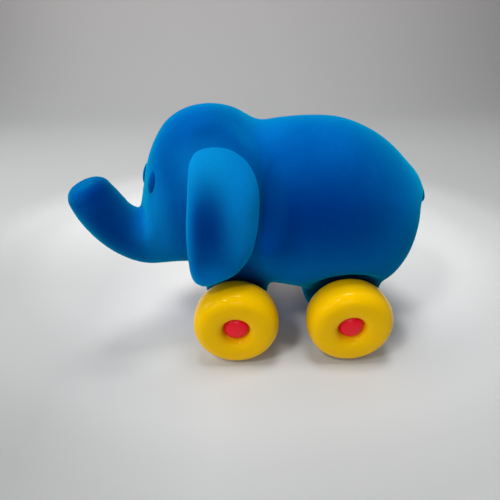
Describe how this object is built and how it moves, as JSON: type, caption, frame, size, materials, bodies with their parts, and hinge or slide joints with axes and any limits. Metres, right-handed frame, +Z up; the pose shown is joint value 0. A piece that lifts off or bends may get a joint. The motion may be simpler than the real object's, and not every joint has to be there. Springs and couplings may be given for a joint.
{
  "type": "wheeled toy elephant",
  "caption": "Push-along toy elephant with a soft flocked body, raised trunk, flap ears and fat free-rolling moulded wheels with domed hub caps.",
  "frame": {"origin": "middle of the overall box in plan, on the ground under the wheels", "axes": "+Z up, the elephant faces -X, and its left side is towards -Y"},
  "size_m": [0.1473, 0.08, 0.1048],
  "materials": {
    "flocked_blue": "matte",
    "wheel_yellow": "gloss",
    "cap_red": "satin",
    "bush_white": "matte",
    "axle_steel": "satin"
  },
  "bodies": {
    "elephant": {"body": "flocked_blue", "tail": "flocked_blue", "left_ear": "flocked_blue", "right_ear": "flocked_blue", "left_eye": "flocked_blue", "right_eye": "flocked_blue", "front_axle": "axle_steel", "rear_axle": "axle_steel", "front_left_cap": "cap_red", "front_right_cap": "cap_red", "rear_left_cap": "cap_red", "rear_right_cap": "cap_red", "front_left_bush": "bush_white", "front_right_bush": "bush_white", "rear_left_bush": "bush_white", "rear_right_bush": "bush_white"},
    "front_left_roller": {"front_left_wheel": "wheel_yellow"},
    "front_right_roller": {"front_right_wheel": "wheel_yellow"},
    "rear_left_roller": {"rear_left_wheel": "wheel_yellow"},
    "rear_right_roller": {"rear_right_wheel": "wheel_yellow"}
  },
  "joints": [
    {"name": "front_left_roll", "type": "hinge", "parent": "elephant", "child": "front_left_roller", "pos_m": [-0.0118, -0.0315, 0.0185], "axis": [0, 1, 0], "continuous": true},
    {"name": "front_right_roll", "type": "hinge", "parent": "elephant", "child": "front_right_roller", "pos_m": [-0.0118, 0.0315, 0.0185], "axis": [0, 1, 0], "continuous": true},
    {"name": "rear_left_roll", "type": "hinge", "parent": "elephant", "child": "rear_left_roller", "pos_m": [0.0372, -0.0315, 0.0185], "axis": [0, 1, 0], "continuous": true},
    {"name": "rear_right_roll", "type": "hinge", "parent": "elephant", "child": "rear_right_roller", "pos_m": [0.0372, 0.0315, 0.0185], "axis": [0, 1, 0], "continuous": true}
  ]
}
